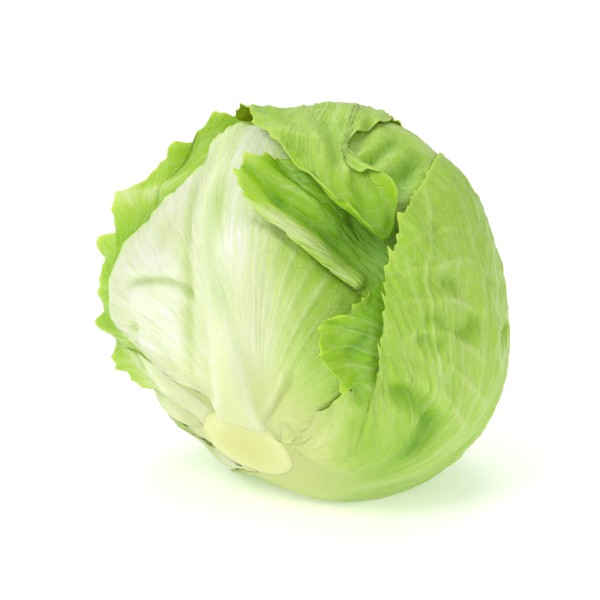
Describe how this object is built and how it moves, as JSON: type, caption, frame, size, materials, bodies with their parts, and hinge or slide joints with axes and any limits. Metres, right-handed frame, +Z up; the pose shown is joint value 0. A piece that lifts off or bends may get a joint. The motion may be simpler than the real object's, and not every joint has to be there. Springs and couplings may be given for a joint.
{
  "type": "head of lettuce",
  "caption": "Whole round head of crisp lettuce lying on its side, with loose outer leaves and a cut stem.",
  "frame": {"origin": "middle of the flat spot under the head that it rests on, straight below the head's middle", "axes": "+Z up; -Y towards the front, where the cut stem points down and to the left; +X to the right as seen from the front"},
  "size_m": [0.1682, 0.1669, 0.1559],
  "materials": {
    "stem": "satin",
    "heart": "satin",
    "leaf_green": "satin",
    "leaf_pale": "satin",
    "leaf_bright": "satin",
    "leaf_white": "satin"
  },
  "bodies": {
    "root": {"stem": "stem", "heart": "heart", "leaf_right_shoulder": "leaf_green", "leaf_left_back": "leaf_green", "leaf_lower_left": "leaf_pale", "leaf_left_frill": "leaf_bright", "leaf_front_rib": "leaf_white", "leaf_inner_flap": "leaf_bright", "leaf_top": "leaf_green", "leaf_right_frill": "leaf_bright", "leaf_underside_back": "leaf_green", "leaf_right_wrapper": "leaf_green"}
  },
  "joints": []
}
